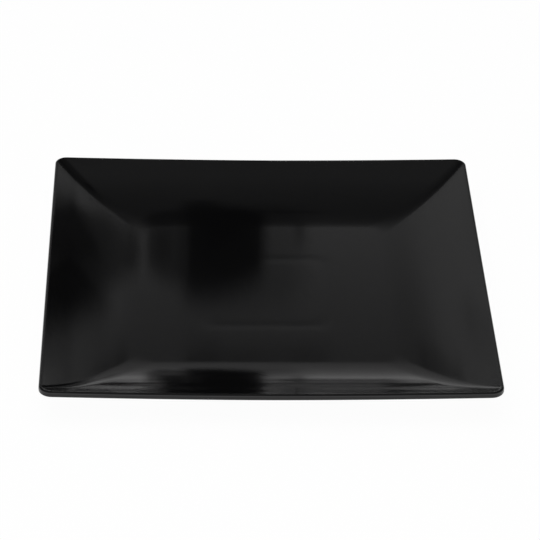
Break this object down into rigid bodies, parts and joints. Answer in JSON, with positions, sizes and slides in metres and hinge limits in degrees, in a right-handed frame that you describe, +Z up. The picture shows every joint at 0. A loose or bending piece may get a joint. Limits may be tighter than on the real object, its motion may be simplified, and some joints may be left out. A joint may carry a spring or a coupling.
{
  "type": "square dinner plate",
  "caption": "Shallow square dinner plate with mitred, sweeping sides, upturned round corners, a flat well and a square foot.",
  "frame": {"origin": "centre of the plane that the foot stands on, under the middle of the well", "axes": "+Z up out of the well, +X and +Y square to the sides; the picture looks along +Y"},
  "size_m": [0.254, 0.254, 0.023],
  "materials": {
    "melamine": "black, pressed, satin gloss",
    "overglaze": "clear glaze fused over black, polished"
  },
  "bodies": {
    "root": {"plate_body": "melamine", "overglaze": "overglaze"}
  },
  "joints": []
}
